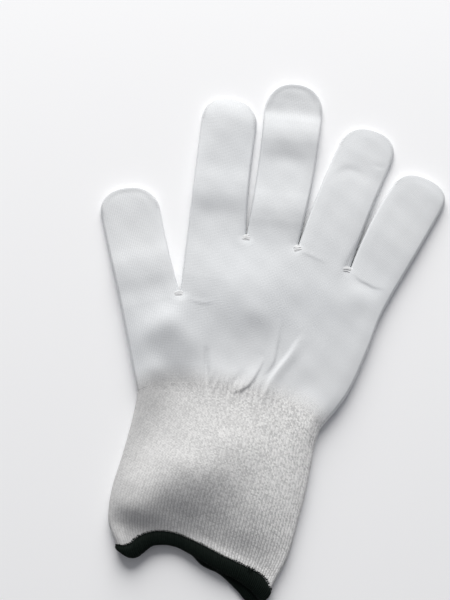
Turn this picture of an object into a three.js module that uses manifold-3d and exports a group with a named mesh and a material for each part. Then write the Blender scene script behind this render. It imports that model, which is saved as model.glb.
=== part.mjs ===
// A seamless-knit inspection glove lying flat: palm, five hollow fingers, elastic cuff, overlocked hem.
// Millimetres. +Y runs from the hem to the middle fingertip, +X to the little finger, +Z up off the surface
// that the glove lies on. The origin is in the middle of the glove's outline, on that surface.
import * as THREE from "three";
import { ParametricGeometry } from "three/addons/geometries/ParametricGeometry.js";
import { mergeGeometries, mergeVertices } from "three/addons/utils/BufferGeometryUtils.js";
import Module from "manifold-3d";

// Driving sizes
const HAND_WALL = 1.0;
const CUFF_WALL = 1.2;
const HEM_PROUD = 0.9; // how far the wound hem stands out of the knit, outside and inside
const PIECE_GAP = 0.3;
const FOLD_RADIUS = 2.4; // round of the pressed folds down both sides of a finger
const FOLD_HEIGHT = 2.2; // where the upper and lower layers meet in a fold
const HEM_FOLD_HEIGHT = 3.8; // the same at the stiffer hem
const FINGER_HEIGHT = 7.6;
const FINGER_CROWN = 2.4; // how much of that height rises from the fold to the middle line
const FINGER_WIDTH = 26; // about the width of one finger, over which the crown is reached
const TIP_ROUND = 2.3; // exponent of the rounded ends: 2 is an ellipse, more is squarer
const CUFF_FLARE = 13; // length over which the cuff opens towards its hem

// What the palm and the open mouth of the cuff add to the height of a finger, and the distances in from the
// fold between which each is added
const PALM_SWELL = { height: 2.2, from: 6, to: 34 };
const MOUTH_SWELL = { height: 4.6, from: 2, to: 20 };

// Fineness of the faces
const CAP_ROWS = 6;
const COLUMNS = 8; // quads across one finger outside
const HOLLOW_COLUMNS = 4; // quads across one finger inside
const CUFF_COLUMNS = 24;
const CUFF_ROWS = 14;
const SAME_POINT = 1e-4; // points closer than this are one

// The wrist line, where the fine knit of the hand meets the cuff, is arched at both ends
const WRIST = { left: -42.1, right: 40.0, y: -32.8, arch: 9.0, power: 4 };

// The seams between neighbouring fingers run from the wrist line to the crotch, in so many rows of faces. The
// first and last are the two sides of the hand, up to where the thumb and the little finger stand free.
const SEAMS = [
  { footX: -42.1, crotchX: -58.1, crotchY: -5.0, rows: 9 },
  { footX: -22.0, crotchX: -33.3, crotchY: 6.8, rows: 9 },
  { footX: -6.0, crotchX: -9.2, crotchY: 39.1, rows: 16 },
  { footX: 10.0, crotchX: 15.1, crotchY: 39.6, rows: 16 },
  { footX: 25.5, crotchX: 40.4, crotchY: 33.4, rows: 16 },
  { footX: 40.0, crotchX: 62.2, crotchY: 27.5, rows: 16, side: [[48.9, -25.0], [54.1, -5.5], [57.6, 13.0]] },
];

// One flat tube per finger, from the thumb to the little finger: its tip, the lean of its end clockwise off +Y
// in degrees, its flat width, the length of its rounded end, how far that end is out of square, how far its left
// and right edges bow to the right, and its rows of faces up to the rounded end
const FINGERS = [
  { tipX: -69.2, tipY: 52.1, lean: -24.1, width: 27.4, cap: 13.0, skew: 0.8, bows: [0, -0.6], rows: 10 },
  { tipX: -28.9, tipY: 106.9, lean: -3.2, width: 26.6, cap: 14.0, skew: 1.2, bows: [0, -0.7], rows: 12 },
  { tipX: -0.5, tipY: 120.2, lean: -4.8, width: 27.6, cap: 15.9, skew: 0.1, bows: [0.8, 1.3], rows: 15 },
  { tipX: 40.6, tipY: 103.8, lean: 12.3, width: 26.3, cap: 13.3, skew: -0.3, bows: [-0.7, -0.7], rows: 12 },
  { tipX: 68.7, tipY: 84.1, lean: 19.3, width: 25.4, cap: 10.3, skew: -0.5, bows: [-1.4, 0.2], rows: 11 },
];
const FINGER_NAMES = ["thumb", "index_finger", "middle_finger", "ring_finger", "little_finger"];

// Sections of the cuff across the wrist: the places of its left and right folds
const CUFF_SECTIONS = [
  { y: -122, left: -31.0, right: 27.0 },
  { y: -116, left: -33.5, right: 30.6 },
  { y: -108, left: -37.2, right: 33.2 },
  { y: -100, left: -41.6, right: 35.9 },
  { y: -92, left: -43.3, right: 37.1 },
  { y: -84, left: -43.6, right: 37.7 },
  { y: -72, left: -42.6, right: 38.7 },
  { y: -60, left: -41.9, right: 39.0 },
  { y: -48, left: -41.7, right: 39.1 },
  { y: -40, left: -42.1, right: 40.3 },
];

// The wavy end of the cuff from its left fold (across 0) to its right fold (across 1), in each layer: where
// the knit ends and where the hem ends
const CUFF_END = [
  { across: 0.0, upperKnit: -108.6, upperHem: -110.8, lowerKnit: -108.6, lowerHem: -110.8 },
  { across: 0.06, upperKnit: -107.2, upperHem: -112.0, lowerKnit: -107.2, lowerHem: -111.6 },
  { across: 0.14, upperKnit: -102.6, upperHem: -110.4, lowerKnit: -103.8, lowerHem: -109.6 },
  { across: 0.2, upperKnit: -100.2, upperHem: -106.8, lowerKnit: -102.2, lowerHem: -107.4 },
  { across: 0.28, upperKnit: -99.0, upperHem: -104.4, lowerKnit: -101.2, lowerHem: -106.0 },
  { across: 0.38, upperKnit: -98.7, upperHem: -104.9, lowerKnit: -101.2, lowerHem: -106.2 },
  { across: 0.5, upperKnit: -100.6, upperHem: -107.1, lowerKnit: -102.8, lowerHem: -108.0 },
  { across: 0.62, upperKnit: -103.1, upperHem: -109.0, lowerKnit: -104.8, lowerHem: -110.2 },
  { across: 0.75, upperKnit: -105.6, upperHem: -111.4, lowerKnit: -108.6, lowerHem: -114.0 },
  { across: 0.88, upperKnit: -108.0, upperHem: -113.8, lowerKnit: -112.6, lowerHem: -118.2 },
  { across: 0.96, upperKnit: -110.4, upperHem: -116.4, lowerKnit: -114.4, lowerHem: -120.2 },
  { across: 1.0, upperKnit: -113.4, upperHem: -118.4, lowerKnit: -113.4, lowerHem: -118.4 },
];

// Dents, folds and ridges of the upper layer: the middle of each, its half length and half width, the lean of
// its length clockwise off +Y in degrees, and how far it rises or sinks
const RELIEF = [
  { x: 0.3, y: 102.5, length: 14, width: 4.5, lean: 90, rise: -0.8 }, // middle finger, behind the tip
  { x: 2.6, y: 89.9, length: 14, width: 5.5, lean: 90, rise: 1.3 },
  { x: 2.4, y: 73.4, length: 14, width: 7.0, lean: 90, rise: -0.9 },
  { x: 1.8, y: 52.1, length: 14, width: 7.0, lean: 90, rise: 0.6 },
  { x: -1.5, y: 37.6, length: 11, width: 6.0, lean: 90, rise: -0.5 },
  { x: -30.4, y: 92.6, length: 14, width: 8.0, lean: 90, rise: 0.4 }, // index finger
  { x: -24.5, y: 70.5, length: 14, width: 7.0, lean: 90, rise: -0.4 },
  { x: -27.0, y: 57.3, length: 14, width: 6.5, lean: 90, rise: 0.7 },
  { x: -21.4, y: 34.5, length: 12, width: 8.0, lean: 90, rise: -1.0 },
  { x: 40.3, y: 86.2, length: 14, width: 7.0, lean: 100, rise: 0.4 }, // ring finger
  { x: 29.6, y: 80.0, length: 6, width: 4.5, lean: 100, rise: -0.5 },
  { x: 31.3, y: 56.6, length: 14, width: 11.0, lean: 100, rise: 0.5 },
  { x: 37.4, y: 34.7, length: 8, width: 5.0, lean: 100, rise: -0.5 },
  { x: 53.4, y: 48.8, length: 14, width: 9.0, lean: 110, rise: 0.4 }, // little finger
  { x: 50.0, y: 33.4, length: 10, width: 6.0, lean: 110, rise: 0.4 },
  { x: 57.9, y: 21.6, length: 10, width: 4.5, lean: 100, rise: -0.9 },
  { x: -58.3, y: 26.0, length: 14, width: 8.0, lean: 70, rise: -0.4 }, // thumb
  { x: -50.7, y: 12.9, length: 14, width: 6.5, lean: 75, rise: 0.5 },
  { x: -45.4, y: -0.4, length: 11, width: 5.0, lean: 75, rise: -0.8 },
  { x: -38.0, y: -12.0, length: 15, width: 5.5, lean: 25, rise: 1.6 }, // ridge below the thumb's crotch
  { x: -32.0, y: -26.5, length: 7, width: 5.0, lean: 0, rise: -1.1 },
  { x: 0.8, y: 9.0, length: 22, width: 10.0, lean: 80, rise: 1.2 }, // palm below the knuckles
  { x: 2.6, y: -7.2, length: 9, width: 6.0, lean: 90, rise: -1.1 },
  { x: -14.7, y: -15.4, length: 9, width: 7.0, lean: 90, rise: -0.8 },
  { x: -12.6, y: -30.2, length: 8, width: 5.0, lean: 90, rise: 0.5 },
  { x: 28.1, y: 9.8, length: 10, width: 7.0, lean: 30, rise: -0.6 },
  { x: 4.5, y: -21.5, length: 12, width: 3.0, lean: 18, rise: 1.1 }, // pleats that gather into the cuff
  { x: 15.5, y: -17.0, length: 11, width: 3.2, lean: 13, rise: -1.2 },
  { x: 21.0, y: -20.5, length: 15, width: 3.5, lean: 24, rise: 1.5 },
  { x: 32.0, y: -14.0, length: 16, width: 5.5, lean: 25, rise: -1.1 },
  { x: 38.0, y: -32.0, length: 12, width: 8.0, lean: 30, rise: 1.0 },
  { x: -34.4, y: -56.0, length: 13, width: 10.0, lean: 0, rise: -1.6 }, // cuff: hollow, long ridge, slope
  { x: -21.0, y: -82.5, length: 20, width: 9.0, lean: 58, rise: 2.6 },
  { x: 3.0, y: -70.0, length: 18, width: 13.0, lean: 90, rise: 3.2 },
  { x: -7.0, y: -94.5, length: 16, width: 6.0, lean: 80, rise: -2.2 },
  { x: 12.0, y: -99.5, length: 12, width: 5.0, lean: 75, rise: -1.4 },
  { x: -34.5, y: -103.0, length: 6, width: 5.0, lean: 20, rise: 1.8 }, // rolled lobe at the left corner
];

const degrees = Math.PI / 180;
const lerp = THREE.MathUtils.lerp;
const smoothstep = THREE.MathUtils.smoothstep;
const lastFinger = FINGERS.length - 1;

// Reads a table at any value of its first column, along a smooth curve through its rows
function reader(table, key, ...columns) {
  const places = table.map((row) => row[key]);
  const values = table.flatMap((row) => columns.map((column) => row[column]));
  const curve = new THREE.CubicInterpolant(places, values, columns.length);
  return (place) => curve.evaluate(THREE.MathUtils.clamp(place, places[0], places.at(-1)));
}
const cuffFolds = reader(CUFF_SECTIONS, "y", "left", "right");
const cuffEnd = reader(CUFF_END, "across", "upperKnit", "upperHem", "lowerKnit", "lowerHem");

function wristLine(x) {
  const middle = (WRIST.left + WRIST.right) / 2;
  const half = (WRIST.right - WRIST.left) / 2;
  return WRIST.y - WRIST.arch * Math.abs((x - middle) / half) ** WRIST.power;
}

// Outline of the hand

// A seam's place at a row of the knit, from its foot on the wrist line (row 0) to its crotch
function seamAt(index, row) {
  const seam = SEAMS[index];
  const foot = new THREE.Vector2(seam.footX, wristLine(seam.footX));
  const crotch = new THREE.Vector2(seam.crotchX, seam.crotchY);
  const share = row / seam.rows;
  if (share <= 0) return foot;
  if (!seam.side) return foot.lerp(crotch, share);
  const between = seam.side.map(([x, y]) => new THREE.Vector2(x, y));
  return new THREE.SplineCurve([foot, ...between, crotch]).getPoint(share);
}

// A finger parts from the palm at its root, level with its higher crotch, and its rounded end starts at its
// shoulder
const rootRow = (index) => Math.max(SEAMS[index].rows, SEAMS[index + 1].rows);
const shoulderRow = (index) => rootRow(index) + FINGERS[index].rows;
const topRow = (index) => shoulderRow(index) + CAP_ROWS;

// A finger's left (side -1) or right (side 1) edge at a row, drawn in by inset
function edgeAt(index, side, row, inset) {
  const finger = FINGERS[index];
  const seamIndex = side < 0 ? index : index + 1;
  const seam = SEAMS[seamIndex];
  const outside = seamIndex === 0 || seamIndex === SEAMS.length - 1;
  const lean = finger.lean * degrees;
  const along = new THREE.Vector2(Math.sin(lean), Math.cos(lean));
  const across = new THREE.Vector2(Math.cos(lean), -Math.sin(lean));
  const capEnd = shoulderRow(index);
  if (row < seam.rows) {
    return outside ? seamAt(seamIndex, row).addScaledVector(across, -side * inset) : seamAt(seamIndex, row);
  }
  const tip = new THREE.Vector2(finger.tipX, finger.tipY);
  const turn = Math.max(0, (row - capEnd) / CAP_ROWS) * 90 * degrees;
  const halfWidth = (finger.width / 2) * (1 - Math.sin(turn) ** TIP_ROUND) ** (1 / TIP_ROUND);
  const reach = (halfWidth * 2) / finger.width;
  const behind = finger.cap * (1 - Math.sin(turn)) + finger.skew * side * reach;
  const onCap = tip.addScaledVector(along, -behind).addScaledVector(across, side * halfWidth);
  const drawnIn = new THREE.Vector2().addScaledVector(across, -side * inset * reach);
  drawnIn.addScaledVector(along, -inset * Math.sin(turn));
  if (row >= capEnd) return onCap.add(drawnIn);
  const share = (row - seam.rows) / (capEnd - seam.rows);
  const arc = 4 * share * (1 - share); // 0 at both ends, 1 in the middle
  const straight = new THREE.Vector2(seam.crotchX, seam.crotchY).lerp(onCap, share);
  return straight.addScaledVector(across, finger.bows[side < 0 ? 0 : 1] * arc).add(drawnIn);
}

// The whole edge of the hand from the left of the wrist round all fingers to the right of it. Rows below 0 run
// out past the wrist line, 1 mm each.
function handOutline(inset, firstRow) {
  const points = [];
  const rowShift = (row) => new THREE.Vector2(0, Math.min(row, 0));
  for (let index = 0; index <= lastFinger; index++) {
    const start = index === 0 ? firstRow : SEAMS[index].rows;
    const end = index === lastFinger ? firstRow : SEAMS[index + 1].rows;
    for (let row = start; row <= topRow(index); row++) {
      points.push(edgeAt(index, -1, row, inset).add(rowShift(row)));
    }
    for (let row = topRow(index) - 1; row >= end; row--) {
      points.push(edgeAt(index, 1, row, inset).add(rowShift(row)));
    }
    if (inset > 0 && index < lastFinger) points.push(seamAt(index + 1, end - 1));
  }
  return points;
}

function distanceTo(outline, x, y) {
  let nearest = Infinity;
  for (let index = 1; index < outline.length; index++) {
    const from = outline[index - 1];
    const run = outline[index].clone().sub(from);
    const share = ((x - from.x) * run.x + (y - from.y) * run.y) / (run.lengthSq() || 1);
    const held = THREE.MathUtils.clamp(share, 0, 1);
    nearest = Math.min(nearest, Math.hypot(x - from.x - run.x * held, y - from.y - run.y * held));
  }
  return nearest < SAME_POINT ? 0 : nearest;
}

// Heights of the two layers

// 1 at the end of the knit and all over the hem, falling to 0 a flare's length up the cuff
const flareAt = (y, endOfKnit) => 1 - smoothstep(y - endOfKnit, 0, CUFF_FLARE);

function relief(x, y) {
  return RELIEF.reduce((sum, spot) => {
    const lean = spot.lean * degrees;
    const along = (x - spot.x) * Math.sin(lean) + (y - spot.y) * Math.cos(lean);
    const across = (x - spot.x) * Math.cos(lean) - (y - spot.y) * Math.sin(lean);
    return sum + spot.rise * Math.exp(-((along / spot.length) ** 2) - (across / spot.width) ** 2);
  }, 0);
}

// Height of the upper or lower layer, drawn in by inset, at a distance from that layer's own fold
function layerHeight(x, y, distance, upper, inset) {
  const depth = Math.max(distance + inset, 0);
  const crown = 1 - (1 - Math.min(depth / (FINGER_WIDTH / 2), 1)) ** 2;
  const [left, right] = cuffFolds(y);
  const across = THREE.MathUtils.clamp((x - left) / (right - left), 0, 1);
  const flare = flareAt(y, cuffEnd(across)[upper ? 0 : 2]);
  const foldFlare = flareAt(y, cuffEnd(Math.round(across))[0]);
  const swell = (part) => part.height * smoothstep(depth, part.from, part.to);
  const body = FINGER_HEIGHT - FINGER_CROWN * (1 - crown);
  const top = body + swell(PALM_SWELL) + swell(MOUTH_SWELL) * flare + relief(x, y);
  const fold = lerp(FOLD_HEIGHT, HEM_FOLD_HEIGHT, foldFlare);
  const bottom = HEM_PROUD * flare;
  const radius = Math.max(FOLD_RADIUS - inset / 2, 1);
  const bend = Math.sqrt(1 - (1 - THREE.MathUtils.clamp(distance / radius, 0, 1)) ** 2);
  return lerp(fold, upper ? top - inset : bottom + inset, bend);
}

// Solids

const easeEnds = (share) => 0.5 - 0.5 * Math.cos(Math.PI * share); // closer steps at both ends

// Joins sheets that share their edges into one closed mesh and drops its flat, zero-width faces
function weld(sheets) {
  const bare = sheets.map((sheet) => sheet.deleteAttribute("normal").deleteAttribute("uv"));
  const welded = mergeVertices(mergeGeometries(bare), SAME_POINT);
  const corners = Array.from(welded.index.array);
  const kept = [];
  for (let face = 0; face < corners.length; face += 3) {
    const [a, b, c] = corners.slice(face, face + 3);
    if (a !== b && b !== c && c !== a) kept.push(a, b, c);
  }
  welded.setIndex(kept);
  return welded;
}

// One closed form of knit, drawn in by inset: an upper and a lower sheet for each of its spans, and its open ends.
// A span is a run of rows of one finger's tube, which may start below row 0, past the wrist line.
function knitForm(inset, columns, spans) {
  const outline = handOutline(inset, Math.min(0, spans[0].start));
  const place = (index, share, row, upper, target) => {
    const left = edgeAt(index, -1, row, inset);
    const right = edgeAt(index, 1, row, inset);
    const point = left.clone().lerp(right, easeEnds(share));
    const fewerRows = Math.min(SEAMS[index].rows, SEAMS[index + 1].rows);
    const footShare = 1 - THREE.MathUtils.clamp(row / fewerRows, 0, 1);
    const straight = lerp(wristLine(left.x), wristLine(right.x), easeEnds(share));
    point.y += (wristLine(point.x) - straight) * footShare + Math.min(row, 0);
    const onFold = (share === 0 && row >= SEAMS[index].rows) || (share === 1 && row >= SEAMS[index + 1].rows);
    const distance = onFold ? 0 : distanceTo(outline, point.x, point.y);
    target.set(point.x, point.y, layerHeight(point.x, point.y, distance, upper, inset));
  };
  const sheets = spans.flatMap(({ index, start, end }) => {
    const rows = end - Math.floor(start);
    const rowAt = (v) => Math.max(start, end - rows * (1 - v));
    const upper = new ParametricGeometry(
      (u, v, target) => place(index, u, rowAt(v), true, target), columns, rows);
    const lower = new ParametricGeometry(
      (u, v, target) => place(index, 1 - u, rowAt(v), false, target), columns, rows);
    const closing = (row, forward) => new ParametricGeometry((u, v, target) => {
      const share = forward ? u : 1 - u;
      place(index, share, row, true, target);
      const top = target.z;
      place(index, share, row, false, target);
      target.z = lerp(target.z, top, v);
    }, columns, 1);
    return [upper, lower, closing(start, true), ...(end < topRow(index) ? [closing(end, false)] : [])];
  });
  return weld(sheets);
}

// A closed ring of knit round the wrist. Its section is a list of stations, each a share of the way along from
// the start line to the end line and how far it is drawn in from the cuff's own outside.
function wristRing(startLine, endLine, stations) {
  const place = (u, v, target) => {
    const upper = u >= 0.5;
    const across = easeEnds(upper ? 2 - 2 * u : 2 * u);
    const at = (v * stations.length) % stations.length;
    const station = stations[Math.floor(at)];
    const next = stations[(Math.floor(at) + 1) % stations.length];
    const share = lerp(station.share, next.share, at % 1);
    const inset = lerp(station.inset, next.inset, at % 1);
    const y = lerp(startLine(across, upper), endLine(across, upper), share);
    const [left, right] = cuffFolds(y);
    const x = lerp(left + inset, right - inset, across);
    const distance = Math.min(x - left, right - x) - inset;
    target.set(x, y, layerHeight(x, y, distance, upper, inset));
  };
  return weld([new ParametricGeometry(place, 2 * CUFF_COLUMNS, stations.length)]);
}

async function hollowed(outside, hollow) {
  const wasm = await Module();
  wasm.setup();
  const solid = (geometry) => new wasm.Manifold(new wasm.Mesh({
    numProp: 3,
    vertProperties: Float32Array.from(geometry.getAttribute("position").array),
    triVerts: Uint32Array.from(geometry.index.array),
  }));
  const result = solid(outside).subtract(solid(hollow)).getMesh();
  const geometry = new THREE.BufferGeometry();
  geometry.setAttribute("position", new THREE.BufferAttribute(result.vertProperties, 3));
  geometry.setIndex(new THREE.BufferAttribute(result.triVerts, 1));
  return geometry;
}

const steps = (count) => Array.from({ length: count + 1 }, (_, step) => step / count);

const cuffStart = (across) => wristLine(lerp(WRIST.left, WRIST.right, across)) - PIECE_GAP;
const knitEnd = (across, upper) => cuffEnd(across)[upper ? 0 : 2];
const hemStart = (across, upper) => knitEnd(across, upper) - PIECE_GAP;
const hemEnd = (across, upper) => cuffEnd(across)[upper ? 1 : 3];

const cuffStations = [
  ...steps(CUFF_ROWS).map((share) => ({ share, inset: 0 })),
  ...steps(CUFF_ROWS / 2).reverse().map((share) => ({ share, inset: CUFF_WALL })),
];
const hemInside = CUFF_WALL + HEM_PROUD;
const hemFull = { from: 0.15, to: 0.8 }; // the hem is at its thickest between these shares of its width
const hemStations = [
  { share: 0, inset: 0 },
  { share: hemFull.from, inset: -HEM_PROUD },
  { share: hemFull.to, inset: -HEM_PROUD },
  { share: 1, inset: 0 },
  { share: 1, inset: CUFF_WALL },
  { share: hemFull.to, inset: hemInside },
  { share: hemFull.from, inset: hemInside },
  { share: 0, inset: CUFF_WALL },
];

function piece(name, geometry, color, roughness) {
  const mesh = new THREE.Mesh(geometry, new THREE.MeshStandardMaterial({ color, roughness, metalness: 0 }));
  mesh.name = name;
  return mesh;
}

const rowsPastWrist = 2;
const rowsPastRoot = 1;
const gapRow = (index) => rootRow(index) + PIECE_GAP / edgeAt(index, 1, rootRow(index), 0)
  .distanceTo(edgeAt(index, 1, rootRow(index) + 1, 0));

const palmSpans = (start, pastRoot) => FINGERS.map((_, index) => ({ index, start, end: rootRow(index) + pastRoot }));
const palm = await hollowed(
  knitForm(0, COLUMNS, palmSpans(0, 0)),
  knitForm(HAND_WALL, HOLLOW_COLUMNS, palmSpans(-rowsPastWrist, rowsPastRoot)),
);
const fingers = await Promise.all(FINGERS.map((_, index) => hollowed(
  knitForm(0, COLUMNS, [{ index, start: gapRow(index), end: topRow(index) }]),
  knitForm(HAND_WALL, HOLLOW_COLUMNS, [{ index, start: rootRow(index), end: topRow(index) }]),
)));

const group = new THREE.Group();
group.add(
  piece("palm", palm, 0xdfe1e2, 0.9),
  ...fingers.map((finger, index) => piece(FINGER_NAMES[index], finger, 0xdfe1e2, 0.9)),
  piece("cuff", wristRing(cuffStart, knitEnd, cuffStations), 0xc9cbc9, 0.95),
  piece("hem", wristRing(hemStart, hemEnd, hemStations), 0x0a120d, 0.8),
);

export default group;
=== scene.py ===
import math
import random

import bmesh
import bpy
import numpy as np
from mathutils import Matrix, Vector


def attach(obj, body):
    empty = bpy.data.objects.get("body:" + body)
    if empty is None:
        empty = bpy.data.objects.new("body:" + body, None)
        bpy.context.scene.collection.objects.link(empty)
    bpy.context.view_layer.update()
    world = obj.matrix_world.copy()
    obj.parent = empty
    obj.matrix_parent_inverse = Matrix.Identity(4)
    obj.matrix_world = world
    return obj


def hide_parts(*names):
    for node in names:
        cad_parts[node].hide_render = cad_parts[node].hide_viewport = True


# A seamless-knit inspection glove lying flat: a fine-knit hand, a coarser elastic cuff and a wound dark
# hem. The tables and sizes below are in millimetres, and MM turns them into metres. +Y runs from the hem
# to the middle fingertip, +X to the little finger, +Z up off the surface that the glove lies on.
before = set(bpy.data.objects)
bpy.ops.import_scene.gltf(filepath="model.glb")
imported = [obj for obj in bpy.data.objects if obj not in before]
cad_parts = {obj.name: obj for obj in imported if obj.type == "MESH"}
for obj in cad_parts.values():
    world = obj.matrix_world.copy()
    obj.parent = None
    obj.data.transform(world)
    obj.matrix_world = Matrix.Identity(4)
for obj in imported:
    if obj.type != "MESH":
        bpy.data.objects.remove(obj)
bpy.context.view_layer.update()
MM = 0.001

# Sizes of the knit
HAND_WALL = 0.8
CUFF_WALL = 1.2
HEM_PROUD = 0.9
HEM_WIDTH = 5.8
FOLD_RADIUS = 1.0  # round of the pressed folds down both sides of a finger
FOLD_HEIGHT = 1.3  # where the upper and lower layers meet in a fold
HEM_FOLD_HEIGHT = 3.0
PLAIN_HEIGHT = 5.4  # of the upper layer, where no wave or swell moves it
CROWN = {"rise": 0.5, "reach": 6}  # the last part of that height, and how far in from a fold it is reached
# The dome of a finger's end: how far in from the edge it reaches, and where it begins to fade and has
# faded, measured back from where the rounded end begins
DOME = {"reach": 12, "fade": -2, "faded": 24}
# How widely neighbouring fingers blend: at a fold, and for each mm inwards, and the least that each counts
FINGER_BLEND = {"edge": 3.5, "inner": 0.6, "least": 1e-12}
MOUTH_FLARE = 4.0  # how far up from the end of the knit both layers begin to rise towards the hem
TIP_ROUND = 2.3  # exponent of the rounded ends: 2 is an ellipse, more is squarer
# The raised seam round the end of a finger: how far in it runs, how wide it is on either side, and the
# rows past the shoulder at which it starts and has its full height
TIP_SEAM = {"inset": 1.2, "outer": 0.7, "inner": 1.6, "start": -1, "full": 1.5}
WRIST = {"left": -42.1, "right": 40.0, "y": -32.8, "arch": 9.0, "power": 4}
WRIST_STEP = {"drop": 0.05, "length": 3.0}  # the hand bulges this far over the tighter cuff
CUFF_TUCK = {"length": 1.4, "depth": 0.3}  # how far the cuff runs up under the hand
# Small pleats at the wrist line: their height, pitch and reach off it, where they start and end along it,
# and over what length they fade there. A slow and a quick wave shift them.
GATHERS = {"height": 0.22, "pitch": 2.5, "length": 4.0, "left": -20, "right": 22, "fade": 12}
GATHER_DRIFT = {"slow": 1.8, "slow_across": 4, "quick": 1.2, "quick_across": 1.9, "quick_along": 3}
PLEAT = {"reach": 3, "taper": 1.2}  # how many widths it reaches to the side, and the power of its taper
SLACK = {"height": 0.03, "waves": 14, "shortest": 9.0, "longest": 40.0}  # gentle unevenness all over

# Stitches and threads
WALES_PER_FINGER = 32
COURSE = 0.7
CUFF_WALES = 124
CUFF_COURSES = 68
STITCH_HEIGHT = 0.24
STITCH_FADE = 2.5  # how far below the wrist line they reach that height
STITCH_SPREAD = 0.15  # share by which the stitches differ in height
# The round and sharp parts of a stitch's legs, and the even and lumpy parts along them
STITCH_FORM = {"round": 0.55, "sharp": 0.45, "even": 0.45, "lumpy": 0.55}
TIP_STITCH = {"pitch": 0.9, "start": 0.6, "end": 1.9, "lean": 0.12, "radius": 0.18, "lift": 0.1, "points": 5}
TIP_ROWS = 60  # places at which the length round the end of a finger is measured
# A knot: its strands, their radius, half width, droop and spread, and how many degrees they stray.
# Strands differ in width and droop, start at a lift, arch over it and thin out to their ends.
KNOT = {"strands": 13, "radius": 0.5, "half_width": 2.5, "droop": 1.1, "spread": 1.45, "stray": 9}
KNOT_STRAND = {"widths": (0.6, 1.1), "droops": (0.7, 1.2), "lift": -0.48, "arch": 0.46, "thin": 0.95}
KNOT_POINTS = 13
THREADS = 190
THREAD_RADIUS = 0.27
THREAD_TOOTH = 0.6  # how far the longest threads reach over the knit
# A hem thread: where it starts and ends, in half turns round the hem, how far and from which turn it
# slants, and how far it strays. Threads differ in lift and in the length of their tooth.
HEM_STITCH = {"start": 0.08, "end": 1.92, "slant": 0.7, "slant_turn": 0.4, "stray": 0.12}
HEM_STITCH_CHANCE = {"lifts": (0.8, 0.95), "teeth": (0.1, 1.0)}
HEM_BAND_PROUD = 0.45
# Loose ends of it: their place across the cuff, number, length and start on the hem, and how they differ
LOOSE_ENDS = {"across": 0.82, "count": 2, "length": 0.7, "start": 0.2, "points": 6}
LOOSE_CHANCE = {"lengths": (0.5, 1.1), "apart": 0.012, "stray": 0.015, "rises": (0.2, 0.9)}
SEEDS = {"slack": 3, "stitches": 5, "threads": 7, "knots": 11}

# Finishes. Noise is in grains for each metre, and relief in millimetres.
WRIST_GRAIN = 12  # how many courses of the hand the grain of the cuff reaches into
NOISE = {"tint": 14.0, "clouds": 60.0, "thread": 900.0, "yarn": 1500.0, "elastic": 1900.0}
RELIEF = {"hand": 0.08, "yarn": 0.05, "cuff": 0.2, "thread": 0.15}
KNIT_FORM = {"round": 0.45, "sharp": 0.55, "even": 0.4, "lumpy": 0.6}  # as STITCH_FORM, in the finishes
KNIT_LEGS = {"across": 2, "along": 1.5}  # legs with a value of their own, in each wale and course
SLUBS = {"across": 0.5, "along": 1.6}  # thicker places of the yarn, in each wale and course
# The knit's height in the hand's colour is painted shade between its stitches; clouds, slubs and legs are its
# own tone.
FINE_TONE_AND_PAINTED_SHADE = {"knit": 0.12, "clouds": 0.35, "slubs": 0.3, "legs": 0.15}  # what makes the hand lighter
WRIST_FADE = {"slubs": 0.5, "level": 0.25}  # makes the edge of the cuff's grain uneven
HAND_BUMP = {"slubs": 0.8}
CUFF_BUMP = {"knit": 0.6, "specks": 0.5}
# The specks are the knit's own grain; their stronger contrast to the right is painted shade where the light
# grazes.
SPECKS = {"slope": 7, "middle": 0.5, "least": 0.2}  # strength of the elastic's specks, more to the right
# Shade of the elastic knit, with painted light and painted shade in it. Places are in metres, and slopes for
# each metre: across the cuff, right of its middle, and above "wrist", where it darkens. The lighter right is
# painted light, and the darkening above "wrist" is painted shade. The gap between its wales is painted
# darker, which is painted shade; it shows more to the right, and also below "hem", which fades to the left of
# "left".
ELASTIC_TONE_AND_PAINTED_LIGHT = {"shade": 0.455, "specks": 0.95, "across": 4, "right": 6, "wrist": -0.052, "painted_shade_above_wrist": 5}
PAINTED_GAP_SHADE = {"level": 0.62, "least": 0.12, "right": 14, "hem": -0.068, "below": 42, "left": -0.02, "fade": 1800}
FINE_COOL = (0.65, 0.678, 0.705, 1)
FINE_WARM = (0.678, 0.684, 0.684, 1)
FINE_LIGHT = (0.785, 0.803, 0.82, 1)
ELASTIC_DARK = (0.45, 0.45, 0.45, 1)
ELASTIC_LIGHT = (0.94, 0.94, 0.93, 1)
YARN_DARK = (0.58, 0.59, 0.60, 1)
YARN_LIGHT = (0.70, 0.705, 0.71, 1)
THREAD_DARK = (0.0015, 0.004, 0.0028, 1)
THREAD_LIGHT = (0.004, 0.010, 0.007, 1)

# Floor, light and camera. The camera is placed so that the outline fits the photograph. Headings are
# where a thing stands, in degrees clockwise off +Y.
FLOOR_SIZE = 4000
FLOOR_COLOR = (0.94, 0.945, 0.955, 1)
KEY_LIGHT = {"target": (0, 0, 0), "distance": 2200, "elevation": 30, "heading": -13}
KEY_LAMP = {"size": 2200, "power": 79, "color": (1.0, 0.99, 0.975)}
SKY = {"color": (0.93, 0.94, 1.0, 1), "strength": 0.235}
VIEW = {"target": (-12.74, 8.15, 0.0), "distance": 509.4, "elevation": 74.0, "heading": 168.5}
LENS = {"angle": 30.0, "nearest": 10}

# Fineness of the meshes: rows of faces in each row of the tables, and faces across a finger
UPPER = {"steps": 8, "columns": 44}
LOWER = {"steps": 8, "columns": 12}
INSIDE = {"steps": 2, "columns": 10}
COLUMN_SPACING = {"even": 0.3, "eased": 0.7}  # how much closer the columns lie at the folds
CAP_ROWS = 6
OUTLINE_STEPS = 3
PLEAT_STEPS = 25
TURN_STEPS = 2001
COLUMNS_PER_WALE = 4
ROWS_PER_COURSE = 2
HEM_COLUMNS = 560
HEM_SIDES = 18
THREAD_POINTS = 10
WELD = 2e-6

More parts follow.
